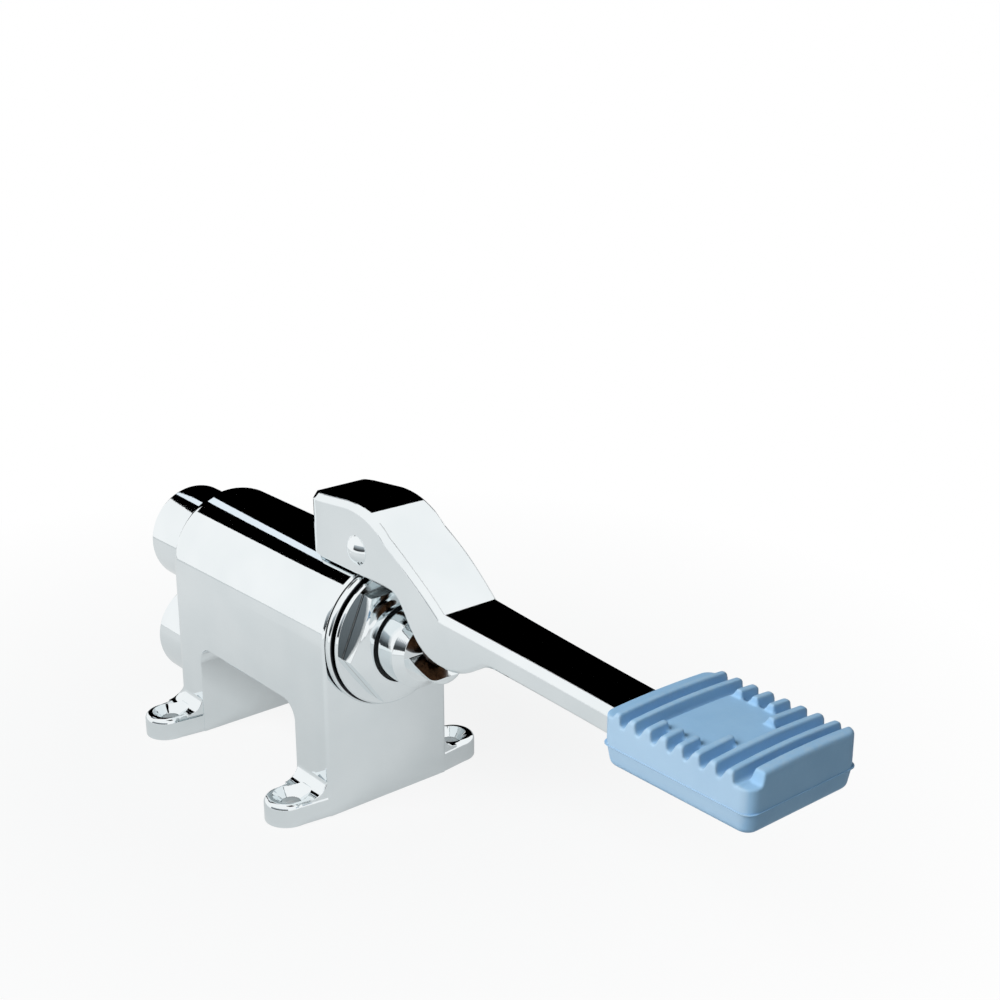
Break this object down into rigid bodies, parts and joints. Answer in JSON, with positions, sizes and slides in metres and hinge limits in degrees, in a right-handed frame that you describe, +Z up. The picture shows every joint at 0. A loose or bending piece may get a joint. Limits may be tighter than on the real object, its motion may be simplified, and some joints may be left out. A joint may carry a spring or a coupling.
{
  "type": "foot pedal tap valve",
  "caption": "Floor-standing foot valve: chromed saddle body with rear water ports, sprung plunger in a hexagon bonnet, and a hinged lever with a ribbed rubber pedal pad.",
  "frame": {"origin": "on the floor plane, at the centre of the rectangle of floor screw holes", "axes": "+X forwards along the barrel towards the pedal, +Y across the body, +Z up from the floor"},
  "size_m": [0.3048, 0.0864, 0.1087],
  "materials": {
    "chrome_plate": "polished chrome plate on cast or turned brass",
    "brass": "turned, bare",
    "bronze": "turned, bare, lightly greased",
    "stainless_steel": "drawn or stamped, bright",
    "black_rubber": "moulded, matt",
    "blue_rubber": "moulded light blue rubber, satin",
    "fibre": "pressed fibre sheet",
    "white_acetal": "machined"
  },
  "bodies": {
    "valve": {"valve_body": "chrome_plate", "valve_seat": "brass", "seat_o_ring": "black_rubber", "bonnet": "chrome_plate", "bonnet_gasket": "fibre", "wiper_ring": "black_rubber", "guide_ring": "white_acetal", "stem_o_ring": "black_rubber", "stem_gland": "brass", "spring_washer": "stainless_steel", "return_spring": "stainless_steel", "pivot_bush": "bronze"},
    "plunger_unit": {"plunger": "chrome_plate", "stem": "stainless_steel", "poppet_washer": "black_rubber", "poppet": "brass", "poppet_nut": "brass"},
    "pedal": {"lever": "chrome_plate", "thrust_button": "bronze", "pivot_pin": "chrome_plate", "pin_washer": "stainless_steel", "pin_clip": "stainless_steel", "pedal_pad": "blue_rubber"}
  },
  "joints": [
    {"name": "lever_hinge", "type": "hinge", "parent": "valve", "child": "pedal", "pos_m": [0.053, 0, 0.0936], "axis": [0, 1, 0], "range_deg": [0, 5.3], "stiffness_Nm_per_rad": 31, "springref_deg": -4.01},
    {"name": "plunger_slide", "type": "slide", "parent": "valve", "child": "plunger_unit", "axis": [-1, 0, 0], "range_m": [0, 0.008], "deforming": ["return_spring"]}
  ],
  "couplings": [
    {"joint": "plunger_slide", "follows": "lever_hinge", "m_per_rad": 0.079485}
  ]
}
